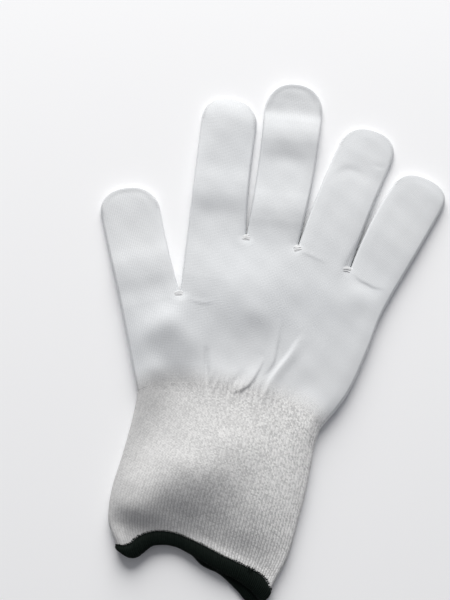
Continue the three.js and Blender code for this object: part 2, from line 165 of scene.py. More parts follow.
# Seams between neighbouring fingers, from the wrist line to the crotch. The first and last are the sides
# of the hand.
SEAMS = [
    {"foot": -42.1, "crotch": (-58.1, -5.0), "rows": 9},
    {"foot": -22.0, "crotch": (-33.3, 6.8), "rows": 9},
    {"foot": -6.0, "crotch": (-9.2, 39.1), "rows": 16},
    {"foot": 10.0, "crotch": (15.1, 39.6), "rows": 16},
    {"foot": 25.5, "crotch": (40.4, 33.4), "rows": 16},
    {"foot": 40.0, "crotch": (62.2, 27.5), "rows": 16, "side": [(48.9, -25.0), (54.1, -5.5), (57.6, 13.0)]},
]

# One flat tube for each finger, from the thumb to the little finger: its tip, the lean of its end
# clockwise off +Y in degrees, its flat width, the length of its rounded end, how far that end is out of
# square, how far its left and right edges bow to the right, its rows up to the rounded end, how far its
# domed end falls towards its edge, and how high the seam round its end stands
FINGERS = [
    {"tip": (-69.2, 52.1), "lean": -24.1, "width": 27.4, "cap": 13.0, "skew": 0.8, "bows": (0, -0.6),
     "rows": 10, "dome": 0.4, "seam": 0.45},
    {"tip": (-28.9, 106.9), "lean": -3.2, "width": 26.6, "cap": 14.0, "skew": 1.2, "bows": (0, -0.7),
     "rows": 12, "dome": 1.8, "seam": 0.12},
    {"tip": (-0.5, 120.2), "lean": -4.8, "width": 27.6, "cap": 15.9, "skew": 0.1, "bows": (0.8, 1.3),
     "rows": 15, "dome": 0.0, "seam": 0.5},
    {"tip": (40.6, 103.8), "lean": 12.3, "width": 26.3, "cap": 13.3, "skew": -0.3, "bows": (-0.7, -0.7),
     "rows": 12, "dome": 0.6, "seam": 0.15},
    {"tip": (68.7, 84.1), "lean": 19.3, "width": 25.4, "cap": 10.3, "skew": -0.5, "bows": (-1.4, 0.2),
     "rows": 11, "dome": 0.5, "seam": 0.2},
]

# Waves along the upper layer of each finger: how far back from the tip, and the rise over PLAIN_HEIGHT
FINGER_WAVES = [
    [(0, -2.0), (12, -1.8), (24, -1.4), (30, -1.0), (38, -0.1), (45, 0.1), (52, -0.2), (58, 0)],
    [(0, -1.5), (6, -0.9), (12, -0.4), (17, -0.35), (24, -0.55), (30, -0.6), (36, -0.5), (45, 0.35),
     (50, 0.5), (60, -0.3), (66, -0.6), (74, -0.6), (82, -0.3), (92, 0)],
    [(0, -2.3), (5, -2.3), (10, -2.6), (16, -2.6), (21, -1.4), (26, -0.5), (30, -0.3), (35, -0.7),
     (40, -1.15), (45, -1.25), (50, -1.05), (56, -0.5), (61, 0.15), (66, 0.45), (71, 0.2), (76, -0.4),
     (82, -0.65), (92, -0.2), (100, 0)],
    [(0, -2.2), (10, -2.0), (15, -1.75), (20, -1.7), (24, -1.65), (29, -1.3), (34, -0.95), (39, -0.6),
     (47, -0.25), (57, -0.1), (66, 0)],
    [(0, -1.2), (5, -1.05), (12, -0.95), (20, -0.9), (30, -0.75), (38, -0.65), (45, -0.75), (52, -0.85),
     (60, -0.65), (70, -0.25), (80, 0)],
]

# Sections across the cuff: their y, the x of its left and right folds, and how far its upper layer swells
# over the plain height at each share of CUFF_COLUMNS across it
CUFF_COLUMNS = (0.14, 0.34, 0.54, 0.8, 0.94)
CUFF_SECTIONS = [
    (-122, -30.0, 27.0, -0.9, -1.0, -1.2, -1.3, -1.0),
    (-116, -31.8, 30.6, -0.9, -1.0, -1.2, -1.3, -1.0),
    (-108, -36.4, 33.2, -0.4, -1.1, -1.2, -1.2, -1.0),
    (-100, -41.6, 35.9, 0.4, -1.2, -1.0, 0.0, -0.2),
    (-92, -43.3, 37.1, 4.7, 2.2, 1.3, 2.3, 0.7),
    (-84, -43.6, 37.7, 4.8, 6.0, 4.4, 3.5, 1.1),
    (-72, -42.6, 38.7, 2.4, 8.2, 7.7, 3.9, 1.2),
    (-60, -41.9, 39.0, -0.2, 5.7, 7.6, 3.6, 1.1),
    (-48, -41.7, 39.1, -1.3, 3.3, 5.1, 2.4, 0.7),
    (-40, -42.1, 40.3, -0.9, 2.1, 3.5, 1.5, 0.4),
    (-30, -42.1, 40.3, -0.3, 1.2, 2.0, 0.9, 0.3),
    (-20, -42.1, 40.3, 0.0, 0.2, 0.4, 0.2, 0.1),
    (-12, -42.1, 40.3, 0.0, 0.0, 0.0, 0.0, 0.0),
    (-4, -42.1, 40.3, 0.0, 0.0, 0.0, 0.0, 0.0),
]

# The wavy end of the cuff: the share of the way across from its left fold to its right one, the y at
# which the knit and then the hem end in the upper layer, the same two in the lower layer, and how far the
# upper layer rises at its hem
CUFF_END = [
    (0.0, -108.2, -110.4, -108.2, -110.4, 0.1),
    (0.04, -108.1, -111.9, -107.4, -110.2, 0.1),
    (0.1, -106.4, -111.5, -105.0, -110.0, 0.1),
    (0.16, -103.2, -108.9, -102.2, -107.4, 0.1),
    (0.22, -100.7, -105.8, -99.4, -104.2, 0.1),
    (0.3, -98.8, -104.0, -97.0, -101.8, 0.1),
    (0.38, -98.5, -103.8, -96.9, -101.8, 0.1),
    (0.46, -99.6, -105.5, -99.6, -105.0, 0.3),
    (0.52, -100.7, -106.9, -102.4, -108.3, 0.6),
    (0.65, -103.5, -109.9, -105.2, -110.9, 0.7),
    (0.8, -106.1, -112.6, -109.8, -116.0, 0.6),
    (0.93, -109.2, -116.4, -113.2, -119.6, 0.3),
    (1.0, -113.4, -118.6, -113.4, -118.6, 0.1),
]

# Soft dents and swells of the upper layer: the middle of each, its half length and half width, the lean
# of its length clockwise off +Y in degrees, and how far it rises or sinks
MOUNDS = [
    # The index, middle and little finger
    (-26.0, 46.5, 8, 5.0, 90, -0.45),
    (1.5, 80.0, 8, 5.0, 92, -0.6),
    (62.0, 74.0, 8, 6.0, 108, 0.1),
    # The palm
    (0.0, -2.0, 50, 42, 0, 1.0),
    (-4.0, 15.0, 24, 14, 85, 1.6),
    (0.0, 4.0, 20, 13, 85, 0.9),
    (3.5, 2.5, 9, 6.0, 95, 0.6),
    (19.0, 12.0, 12, 9.0, 0, -0.9),
    (22.0, 18.0, 10, 7.0, 60, 0.3),
    (46.0, 19.0, 12, 7.0, 70, 0.6),
    # The wrist, on the side of the little finger
    (32.0, -42.0, 22, 16, 15, 0.9),
    (38.0, -38.0, 11, 12, 0, 0.6),
    (28.0, -27.0, 8, 6, 35, -0.8),
    # The root of the thumb, and the wrist below it
    (-37.8, -10.5, 12, 6.5, 36, 1.7),
    (-29.5, -12.0, 11, 7.5, 122, 1.2),
    (-26.0, -34.0, 10, 9.0, 150, -1.7),
    (-35.5, -31.0, 5, 5.0, 0, 0.6),
    # The left corner of the cuff, at its hem
    (-38.5, -109.0, 6, 6, 20, 2.6),
]

# Sharp pleats of the upper layer, where it laps over itself or sinks in: the points of each, how far it
# rises or sinks, and how wide its right and its left side are, looking along it
PLEATS = [
    ([(-1.6, -35.2), (2.3, -33.0), (5.6, -29.6), (8.2, -22.8), (9.9, -16.0)], 0.8, 0.7, 3.2),
    ([(-3.4, -35.5), (-1.3, -30.6), (0.4, -28.0), (3.0, -23.5)], -0.35, 2.4, 1.6),
    ([(10.4, -24.5), (12.9, -20.6), (14.2, -16.5), (14.2, -10.9), (14.1, -5.0), (13.6, 3.0)], 0.6, 0.7, 3.0),
    ([(-10.6, -40.0), (-13.4, -30.0), (-14.9, -24.0), (-16.6, -16.0)], -1.0, 1.5, 0.7),
    ([(25.2, -2.0), (23.0, -7.2), (20.9, -12.8), (17.6, -19.4), (14.8, -26.0), (14.0, -32.1), (12.4, -37.5)],
     0.95, 1.1, 3.0),
    ([(40.6, 75.0), (35.6, 79.8), (31.0, 80.4), (27.0, 77.3), (24.6, 71.0)], -0.3, 2.0, 4.0),
    ([(48.8, 86.6), (45.5, 84.8), (42.0, 86.2)], -0.15, 1.6, 0.9),
    ([(40.5, 31.4), (44.7, 27.5), (48.6, 26.2), (52.5, 25.0), (58.0, 25.6)], -0.4, 3.6, 0.9),
    ([(-16.5, 4.6), (-22.3, 3.0), (-28.5, 3.6)], 0.15, 1.6, 0.7),
    ([(29.5, 33.0), (22.2, 34.9), (16.3, 36.4)], 0.14, 1.8, 0.8),
]

# Knots of yarn in the crotches between the fingers: place, and the lean of the knot off +X in degrees
KNOTS = [
    ((-33.5, 5.8), 10),
    ((-8.9, 38.0), 10),
    ((15.0, 37.5), 24),
    ((38.9, 32.0), 10),
]


def smoothstep(value, start, end):
    share = np.clip((value - start) / (end - start), 0, 1)
    return share * share * (3 - 2 * share)


def ease_ends(share):
    """Closer steps at both ends."""
    return 0.5 - 0.5 * np.cos(np.pi * share)


def smooth_step_between(t, step, low, high, low_slope, high_slope):
    """A smooth curve between two values, with its slope at both ends."""
    return (
        low * (1 + 2 * t) * (1 - t) ** 2
        + high * t * t * (3 - 2 * t)
        + low_slope * step * t * (1 - t) ** 2
        - high_slope * step * t * t * (1 - t)
    )


def smooth_table(rows):
    """Reads a table at any value of its first column, along a smooth curve through its rows."""
    table = np.array(rows, float)
    places, values = table[:, 0], table[:, 1:]
    slopes = np.gradient(values, places, axis=0)

    def read(place):
        place = np.clip(place, places[0], places[-1])
        row = np.clip(np.searchsorted(places, place, side="right") - 1, 0, len(places) - 2)
        step = (places[row + 1] - places[row])[..., None]
        t = (place[..., None] - places[row][..., None]) / step
        return smooth_step_between(t, step, values[row], values[row + 1], slopes[row], slopes[row + 1])

    return read


cuff_sections = smooth_table(CUFF_SECTIONS)
cuff_end = smooth_table(CUFF_END)
finger_waves = [smooth_table(rows) for rows in FINGER_WAVES]


def wrist_line(x):
    middle = (WRIST["left"] + WRIST["right"]) / 2
    half = (WRIST["right"] - WRIST["left"]) / 2
    return WRIST["y"] - WRIST["arch"] * np.abs((x - middle) / half) ** WRIST["power"]


# Outline of the hand


def spline_point(points, share):
    """A point of the smooth curve through points, at a share of its spans."""
    last = len(points) - 1
    place = share * last
    span = min(int(place), last - 1)
    t = place - span
    around = (points[max(span - 1, 0)], points[span], points[span + 1], points[min(span + 2, last)])
    p0, p1, p2, p3 = (np.array(p, float) for p in around)
    v1, v2 = (p2 - p0) / 2, (p3 - p1) / 2
    return p1 + v1 * t + (3 * (p2 - p1) - 2 * v1 - v2) * t**2 + (2 * (p1 - p2) + v1 + v2) * t**3


def seam_at(index, row):
    seam = SEAMS[index]
    foot = (seam["foot"], wrist_line(seam["foot"]))
    return spline_point([foot, *seam.get("side", []), seam["crotch"]], row / seam["rows"])


def shoulder_row(index):
    return max(SEAMS[index]["rows"], SEAMS[index + 1]["rows"]) + FINGERS[index]["rows"]


def top_row(index):
    return shoulder_row(index) + CAP_ROWS


def edge_at(index, side, row, inset):
    """A finger's left (side -1) or right (side 1) edge at a row, drawn in by inset."""
    finger = FINGERS[index]
    seam_index = index if side < 0 else index + 1
    seam = SEAMS[seam_index]
    lean = math.radians(finger["lean"])
    along = np.array((math.sin(lean), math.cos(lean)))
    across = np.array((math.cos(lean), -math.sin(lean)))
    if row < seam["rows"]:
        outer = seam_index in (0, len(SEAMS) - 1)
        return seam_at(seam_index, row) - (side * inset * across if outer else 0)
    shoulder = shoulder_row(index)
    turn = max(0.0, (row - shoulder) / CAP_ROWS) * math.pi / 2
    reach = max(0.0, 1 - math.sin(turn) ** TIP_ROUND) ** (1 / TIP_ROUND)
    behind = finger["cap"] * (1 - math.sin(turn)) + finger["skew"] * side * reach
    on_cap = np.array(finger["tip"]) - along * behind + across * side * reach * finger["width"] / 2
    drawn_in = -across * side * inset * reach - along * inset * math.sin(turn)
    if row >= shoulder:
        return on_cap + drawn_in
    share = (row - seam["rows"]) / (shoulder - seam["rows"])
    arc = 4 * share * (1 - share)
    bow = finger["bows"][0 if side < 0 else 1] * arc
    return np.array(seam["crotch"]) * (1 - share) + on_cap * share + across * bow + drawn_in


def hand_outline(inset, steps):
    """The whole edge of the hand, from the left of the wrist round all fingers to the right of it. The inner
    edge dips one step into the seam at each crotch."""
    points = []
    last = len(FINGERS) - 1
    for index in range(len(FINGERS)):
        start = 0 if index == 0 else SEAMS[index]["rows"] * steps
        end = 0 if index == last else SEAMS[index + 1]["rows"] * steps
        top = top_row(index) * steps
        points += [edge_at(index, -1, row / steps, inset) for row in range(start, top + 1)]
        points += [edge_at(index, 1, row / steps, inset) for row in range(top - 1, end - 1, -1)]
        if inset > 0 and index < last:
            points.append(seam_at(index + 1, (end - 1) / steps))
    return np.array(points)


def measure_from(path, x, y):
    """For each point its distance to a path of straight runs, positive to the left of it, and how far along
    that path, from 0 to 1, the nearest place is."""
    start, run = path[:-1], np.diff(path, axis=0)
    keep = (run**2).sum(1) > 0
    start, run = start[keep], run[keep]
    nearest = np.full(x.shape, np.inf)
    side = np.ones(x.shape)
    along = np.zeros(x.shape)
    for step, ((sx, sy), (rx, ry)) in enumerate(zip(start, run)):
        share = np.clip(((x - sx) * rx + (y - sy) * ry) / (rx * rx + ry * ry), 0, 1)
        away_x, away_y = x - sx - rx * share, y - sy - ry * share
        square = away_x**2 + away_y**2
        closer = square < nearest
        nearest = np.where(closer, square, nearest)
        side = np.where(closer, np.sign(rx * away_y - ry * away_x), side)
        along = np.where(closer, (step + share) / len(run), along)
    return np.sqrt(nearest) * side, along


def distance_to(path, x, y):
    return np.abs(measure_from(path, x, y)[0])


# Heights of the two layers


def across_cuff(x, section):
    """How far across the cuff a place lies, from its left fold to its right one."""
    left, right = section[..., 0], section[..., 1]
    return np.clip((x - left) / (right - left), 0, 1)


def cuff_swell(x, y):
    """How far the upper layer of the cuff swells over the plain height."""
    section = cuff_sections(y)
    share = across_cuff(x, section)
    places = np.array([0, *CUFF_COLUMNS, 1])
    folds = np.zeros((*section.shape[:-1], 1))
    values = np.concatenate([folds, section[..., 2:], folds], axis=-1)
    slopes = np.gradient(values, places, axis=-1)
    column = np.clip(np.searchsorted(places, share, side="right") - 1, 0, len(places) - 2)
    low, high, low_slope, high_slope = (
        np.take_along_axis(table, (column + offset)[..., None], axis=-1)[..., 0]
        for table in (values, slopes)
        for offset in (0, 1)
    )
    step = places[column + 1] - places[column]
    return smooth_step_between((share - places[column]) / step, step, low, high, low_slope, high_slope)


def finger_shape(x, y, depth):
    """The waves along the fingers, less the fall of their domed ends. Each finger counts by how near its
    middle line is, and further in from a fold its neighbours count more."""
    total, weights = np.zeros(x.shape), np.zeros(x.shape)
    blend = FINGER_BLEND["edge"] + FINGER_BLEND["inner"] * depth
    for finger, wave in zip(FINGERS, finger_waves):
        lean = math.radians(finger["lean"])
        from_x, from_y = x - finger["tip"][0], y - finger["tip"][1]
        back = -from_x * math.sin(lean) - from_y * math.cos(lean)
        across = np.abs(from_x * math.cos(lean) - from_y * math.sin(lean))
        at_end = 1 - smoothstep(back, finger["cap"] + DOME["fade"], finger["cap"] + DOME["faded"])
        dome = finger["dome"] * at_end * (1 - np.minimum(depth / DOME["reach"], 1)) ** 2
        weight = np.exp(-((across / blend) ** 2)) + FINGER_BLEND["least"]
        total += weight * (wave(back)[..., 0] - dome)
        weights += weight
    return total / weights


def mounds_at(x, y):
    total = np.zeros_like(x)
    for middle_x, middle_y, length, width, lean, rise in MOUNDS:
        turn = math.radians(lean)
        along = (x - middle_x) * math.sin(turn) + (y - middle_y) * math.cos(turn)
        across = (x - middle_x) * math.cos(turn) - (y - middle_y) * math.sin(turn)
        total += rise * np.exp(-((along / length) ** 2) - (across / width) ** 2)
    return total


def pleat_paths():
    shares = np.linspace(0, 1, PLEAT_STEPS)
    return [np.array([spline_point(points, share) for share in shares]) for points, *_ in PLEATS]


PLEAT_PATHS = pleat_paths()


def pleats_at(x, y):
    total = np.zeros_like(x)
    for path, (_, rise, sharp, soft) in zip(PLEAT_PATHS, PLEATS):
        reach = PLEAT["reach"] * max(sharp, soft)
        low, high = path.min(axis=0) - reach, path.max(axis=0) + reach
        near = (x > low[0]) & (x < high[0]) & (y > low[1]) & (y < high[1])
        if near.any():
            away, along = measure_from(path, x[near], y[near])
            width = np.where(away > 0, soft, sharp)
            total[near] += rise * np.sin(np.pi * along) ** PLEAT["taper"] * np.exp(-((away / width) ** 2))
    return total


def gathers_at(x, y):
    past = (y - wrist_line(x)) / GATHERS["length"]
    left, right, fade = GATHERS["left"], GATHERS["right"], GATHERS["fade"]
    reach = np.exp(-(past**2)) * smoothstep(x, left, left + fade)
    reach *= 1 - smoothstep(x, right - fade, right)
    slow = GATHER_DRIFT["slow"] * np.sin(x / GATHER_DRIFT["slow_across"])
    quick_wave = np.sin(x / GATHER_DRIFT["quick_across"] + y / GATHER_DRIFT["quick_along"])
    wave = np.sin(2 * np.pi * x / GATHERS["pitch"] + slow + GATHER_DRIFT["quick"] * quick_wave)
    return GATHERS["height"] * reach * wave


def make_slack():
    """Gentle waves in all directions."""
    chance = random.Random(SEEDS["slack"])
    waves = []
    for _ in range(SLACK["waves"]):
        turn = chance.uniform(0, math.pi)
        pull = 2 * math.pi / chance.uniform(SLACK["shortest"], SLACK["longest"])
        waves.append((pull * math.cos(turn), pull * math.sin(turn), chance.uniform(0, 2 * math.pi)))
    return waves


SLACK_WAVES = make_slack()


def slack_at(x, y):
    return SLACK["height"] * sum(np.sin(x * wx + y * wy + start) for wx, wy, start in SLACK_WAVES)


def flare_at(y, end_of_knit):
    return 1 - smoothstep(y - end_of_knit, 0, MOUTH_FLARE)


def layer_height(x, y, distance, upper, inset):
    """Height of the upper or lower layer, drawn in by inset, at a distance from that layer's own fold."""
    depth = np.maximum(distance + inset, 0)
    across = across_cuff(x, cuff_sections(y))
    flare = flare_at(y, cuff_end(across)[..., 0 if upper else 2])
    fold = FOLD_HEIGHT + (HEM_FOLD_HEIGHT - FOLD_HEIGHT) * flare_at(y, cuff_end(np.round(across))[..., 0])
    if upper:
        crown = (1 - np.minimum(depth / CROWN["reach"], 1)) ** 2
        creases = mounds_at(x, y) + pleats_at(x, y) + gathers_at(x, y) + slack_at(x, y)
        body = PLAIN_HEIGHT + finger_shape(x, y, depth) + cuff_swell(x, y) - CROWN["rise"] * crown
        step = WRIST_STEP["drop"] * (1 - smoothstep(y - wrist_line(x), 0, WRIST_STEP["length"]))
        level = body + creases * (1 - crown) + cuff_end(across)[..., 4] * flare - step - inset
    else:
        level = HEM_PROUD * flare + inset
    radius = FOLD_RADIUS + np.maximum(-inset / 2, 0)
    bend = np.sqrt(1 - (1 - np.clip(distance / radius, 0, 1)) ** 2)
    return fold + (level - fold) * bend


# Meshes


def add_grid(bm, points, pattern):
    """Adds a sheet of quads with its corners at points, and their places in the knit in its UV map."""
    rows, columns = points.shape[0] - 1, points.shape[1] - 1
    layer = bm.loops.layers.uv.verify()
    made = bmesh.ops.create_grid(bm, x_segments=columns, y_segments=rows, size=0.5)["verts"]
    places = {}
    for vert in made:
        place = (round((vert.co.y + 0.5) * rows), round((vert.co.x + 0.5) * columns))
        places[vert] = place
        vert.co = points[place] * MM
    for face in {face for vert in made for face in vert.link_faces}:
        for loop in face.loops:
            loop[layer].uv = pattern[places[loop.vert]]
    return made


def finish_mesh(bm, name):
    """Turns a closed bmesh into a smooth piece of the glove."""
    bmesh.ops.recalc_face_normals(bm, faces=bm.faces)
    mesh = bpy.data.meshes.new(name)
    bm.to_mesh(mesh)
    bm.free()
    return place_piece(mesh)


def place_piece(mesh):
    mesh.polygons.foreach_set("use_smooth", [True] * len(mesh.polygons))
    piece = bpy.data.objects.new(mesh.name, mesh)
    bpy.context.scene.collection.objects.link(piece)
    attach(piece, "root")
    return piece


def rim_edges(bm, verts):
    """The open edges between these corners, marked sharp."""
    inside = set(verts)
    edges = [e for e in bm.edges if e.is_boundary and e.verts[0] in inside and e.verts[1] in inside]
    for edge in edges:
        edge.smooth = False
    return edges


def tubes(name, paths, radius, roundness=0, taper=None):
    """One mesh of threads along these paths. Taper gives the share of the radius at each point of a path."""
    curve = bpy.data.curves.new(name, "CURVE")
    curve.dimensions = "3D"
    curve.bevel_depth = radius * MM
    curve.bevel_resolution = roundness
    curve.use_fill_caps = True
    for path in paths:
        spline = curve.splines.new("POLY")
        spline.points.add(len(path) - 1)
        spline.points.foreach_set("co", np.column_stack([np.array(path) * MM, np.ones(len(path))]).ravel())
        if taper is not None:
            spline.points.foreach_set("radius", taper)
    holder = bpy.data.objects.new(name, curve)
    bpy.context.scene.collection.objects.link(holder)
    mesh = bpy.data.meshes.new_from_object(holder.evaluated_get(bpy.context.evaluated_depsgraph_get()))
    bpy.data.objects.remove(holder)
    bpy.data.curves.remove(curve)
    mesh.name = name
    return place_piece(mesh)


# Hand


def hand_plan(index, rows, share, inset):
    """Plan places of a finger's strip, row by row and across it."""
    left = np.array([edge_at(index, -1, row, inset) for row in rows])
    right = np.array([edge_at(index, 1, row, inset) for row in rows])
    plan = left[:, None] * (1 - share)[None, :, None] + right[:, None] * share[None, :, None]
    first = min(SEAMS[index]["rows"], SEAMS[index + 1]["rows"])
    foot_share = (1 - np.clip(rows / first, 0, 1))[:, None]
    straight = wrist_line(left[:, :1]) * (1 - share) + wrist_line(right[:, :1]) * share
    plan[..., 1] += (wrist_line(plan[..., 0]) - straight) * foot_share
    return plan, left, right


def knit_places(index, rows, share, left, right):
    """The wale and course at each place of a finger's strip. Wales run straight over its rounded end."""
    finger = FINGERS[index]
    shoulder = shoulder_row(index)
    capped = rows >= shoulder
    width = np.linalg.norm(right - left, axis=1) / finger["width"]
    wale = WALES_PER_FINGER * (index + 0.5 + (share - 0.5) * np.where(capped, width, 1)[:, None])
    turn = np.clip((rows - shoulder) / CAP_ROWS, 0, 1) * np.pi / 2
    first_capped = int(np.argmax(capped))
    runs = []
    for edge in (left, right):
        length = np.concatenate([[0], np.cumsum(np.linalg.norm(np.diff(edge, axis=0), axis=1))])
        runs.append(np.where(capped, length[first_capped] + finger["cap"] * np.sin(turn), length))
    course = (runs[0][:, None] * (1 - share) + runs[1][:, None] * share) / COURSE
    return np.stack([wale, course], axis=-1)


def seam_rise(index, row):
    """How high the raised seam stands at a row of a finger's strip."""
    shoulder = shoulder_row(index)
    return FINGERS[index]["seam"] * smoothstep(row, shoulder + TIP_SEAM["start"], shoulder + TIP_SEAM["full"])


def hand_sheet(index, upper, inset, steps, columns):
    """Corners and knit places of one layer of a finger's strip, from the wrist line to its tip."""
    even = np.linspace(0, 1, columns + 1)
    share = COLUMN_SPACING["even"] * even + COLUMN_SPACING["eased"] * ease_ends(even)
    rows = np.arange(top_row(index) * steps + 1) / steps
    plan, left, right = hand_plan(index, rows, share, inset)
    x, y = plan[..., 0], plan[..., 1]
    distance = distance_to(hand_outline(inset, min(steps, OUTLINE_STEPS)), x, y)
    dip = 1 / steps if inset > 0 else 0
    for column, seam_index in ((0, index), (-1, index + 1)):
        outer = seam_index in (0, len(SEAMS) - 1)
        on_fold = rows >= (0 if outer else SEAMS[seam_index]["rows"] - dip)
        distance[on_fold, column] = 0
    distance[-1] = 0
    z = layer_height(x, y, distance, upper, inset)
    if upper and inset == 0:
        past = distance - TIP_SEAM["inset"]
        ridge = np.exp(-((past / np.where(past > 0, TIP_SEAM["inner"], TIP_SEAM["outer"])) ** 2))
        z += seam_rise(index, rows)[:, None] * ridge * (distance > 0)
    return np.stack([x, y, z], axis=-1), knit_places(index, rows, share, left, right)


def make_hand():
    bm = bmesh.new()
    rims = []
    for inset, layers in ((0, (UPPER, LOWER)), (HAND_WALL, (INSIDE, INSIDE))):
        verts = []
        for index in range(len(FINGERS)):
            for upper, fineness in zip((True, False), layers):
                points, pattern = hand_sheet(index, upper, inset, fineness["steps"], fineness["columns"])
                verts += add_grid(bm, points, pattern)
        bmesh.ops.remove_doubles(bm, verts=verts, dist=WELD)
        rims += rim_edges(bm, [vert for vert in verts if vert.is_valid])
    bmesh.ops.bridge_loops(bm, edges=rims)
    return finish_mesh(bm, "knit_hand")


OUTLINE = hand_outline(0, OUTLINE_STEPS)


def on_top(x, y, lift, least=0.0):
    """Points at a lift over the upper layer of the hand. A place nearer to its folds than the least distance
    counts as that far from them."""
    distance = np.maximum(distance_to(OUTLINE, x, y), least)
    return np.stack([x, y, layer_height(x, y, distance, True, 0) + lift], axis=-1)


def make_tip_stitches():
    """Short stitches over the raised seam round the end of each finger."""
    paths = []
    reach = np.linspace(0, 1, TIP_STITCH["points"])
    insets = TIP_STITCH["start"] + (TIP_STITCH["end"] - TIP_STITCH["start"]) * reach
    for index in range(len(FINGERS)):
        all_rows = np.linspace(shoulder_row(index), top_row(index), TIP_ROWS)
        for side in (-1, 1):
            edge = np.array([edge_at(index, side, row, 0) for row in all_rows])
            length = np.concatenate([[0], np.cumsum(np.linalg.norm(np.diff(edge, axis=0), axis=1))])
            count = int(length[-1] / TIP_STITCH["pitch"])
            for row in np.interp(np.linspace(0, length[-1], count, endpoint=False), length, all_rows):
                rows = row + TIP_STITCH["lean"] * reach
                places = np.array([edge_at(index, side, *place) for place in zip(rows, insets)])
                arch = seam_rise(index, row) * np.sin(np.pi * reach)
                lift = arch + TIP_STITCH["lift"] - TIP_STITCH["radius"]
                paths.append(on_top(places[:, 0], places[:, 1], lift))
    return tubes("tip_stitches", paths, TIP_STITCH["radius"])


def make_crotch_knots():
    """Gathered yarn in each crotch: a bundle of strands, thick in the middle, that arch across it."""
    chance = random.Random(SEEDS["knots"])
    paths = []
    t = np.linspace(-1, 1, KNOT_POINTS)
    for (x, y), lean in KNOTS:
        for _ in range(KNOT["strands"]):
            turn = math.radians(lean + chance.uniform(-KNOT["stray"], KNOT["stray"]))
            across = np.array((math.cos(turn), math.sin(turn)))
            along = np.array((-math.sin(turn), math.cos(turn)))
            half = KNOT["half_width"] * chance.uniform(*KNOT_STRAND["widths"])
            droop = KNOT["droop"] * chance.uniform(*KNOT_STRAND["droops"])
            shift = chance.uniform(-1, 1)
            sideways = KNOT["spread"] * shift - droop * t**2
            plan = np.array((x, y)) + np.outer(t * half, across) + np.outer(sideways, along)
            lift = KNOT_STRAND["lift"] + KNOT_STRAND["arch"] * (1 - shift**2) * (1 - t**2)
            paths.append(on_top(plan[:, 0], plan[:, 1], lift, FOLD_RADIUS))
    return tubes("crotch_knots", paths, KNOT["radius"], 2, np.sqrt(1 - KNOT_STRAND["thin"] * t**2))


# Cuff and hem


def cuff_start(across, _):
    """Where the cuff starts, tucked under the hand. It is the same line in both layers."""
    left, right = WRIST["left"], WRIST["right"]
    return wrist_line(left + (right - left) * across) + CUFF_TUCK["length"]


def knit_end(across, upper):
    return np.where(upper, cuff_end(across)[..., 0], cuff_end(across)[..., 2])


def hem_end(across, upper):
    return np.where(upper, cuff_end(across)[..., 1], cuff_end(across)[..., 3])


def ring_point(u, share, inset, start, end):
    """A point of the ring round the wrist. u goes once round it from the left fold, first through the lower
    layer, then back through the upper one."""
    u = u % 1
    upper = u >= 0.5
    across = ease_ends(np.where(upper, 2 - 2 * u, 2 * u))
    y = start(across, upper) * (1 - share) + end(across, upper) * share
    section = cuff_sections(y)
    left, right = section[..., 0], section[..., 1]
    x = (left + inset) * (1 - across) + (right - inset) * across
    distance = np.maximum(np.minimum(x - left, right - x) - inset, 0)
    heights = [layer_height(x, y, distance, layer, inset) for layer in (True, False)]
    return np.stack([x, y, np.where(upper, *heights)], axis=-1)


def even_turn(start, end, share):
    """Turns an even share of the way round the ring into ring_point's u, by the ring's own length."""
    u = np.linspace(0, 1, TURN_STEPS)
    points = ring_point(u, share, np.zeros_like(u), start, end)
    length = np.concatenate([[0], np.cumsum(np.linalg.norm(np.diff(points, axis=0), axis=1))])
    return lambda turn: np.interp(turn % 1, length / length[-1], u)


def surface_normals(points):
    """Directions off a grid of points that closes on itself across its columns."""
    along = np.gradient(points, axis=0)
    padded = np.concatenate([points[:, -2:-1], points, points[:, 1:2]], axis=1)
    across = (padded[:, 2:] - padded[:, :-2]) / 2
    normal = np.cross(along, across)
    return normal / np.linalg.norm(normal, axis=-1, keepdims=True)


def stitch_height(wale, course):
    """The two legs of each stitch, leaning together, with a gap between neighbouring wales. Each stitch has a
    height of its own."""
    form = STITCH_FORM
    side = np.abs(2 * (wale % 1) - 1)
    ridge = form["round"] * np.sin(np.pi * side) + form["sharp"] * (1 - side)
    lump = np.sin(np.pi * ((course + side) % 1))
    own = np.random.default_rng(SEEDS["stitches"]).random((CUFF_COURSES + 2, CUFF_WALES))
    size = 1 - STITCH_SPREAD * own[(course + side).astype(int), wale.astype(int) % CUFF_WALES]
    return ridge * (form["even"] + form["lumpy"] * lump) * size


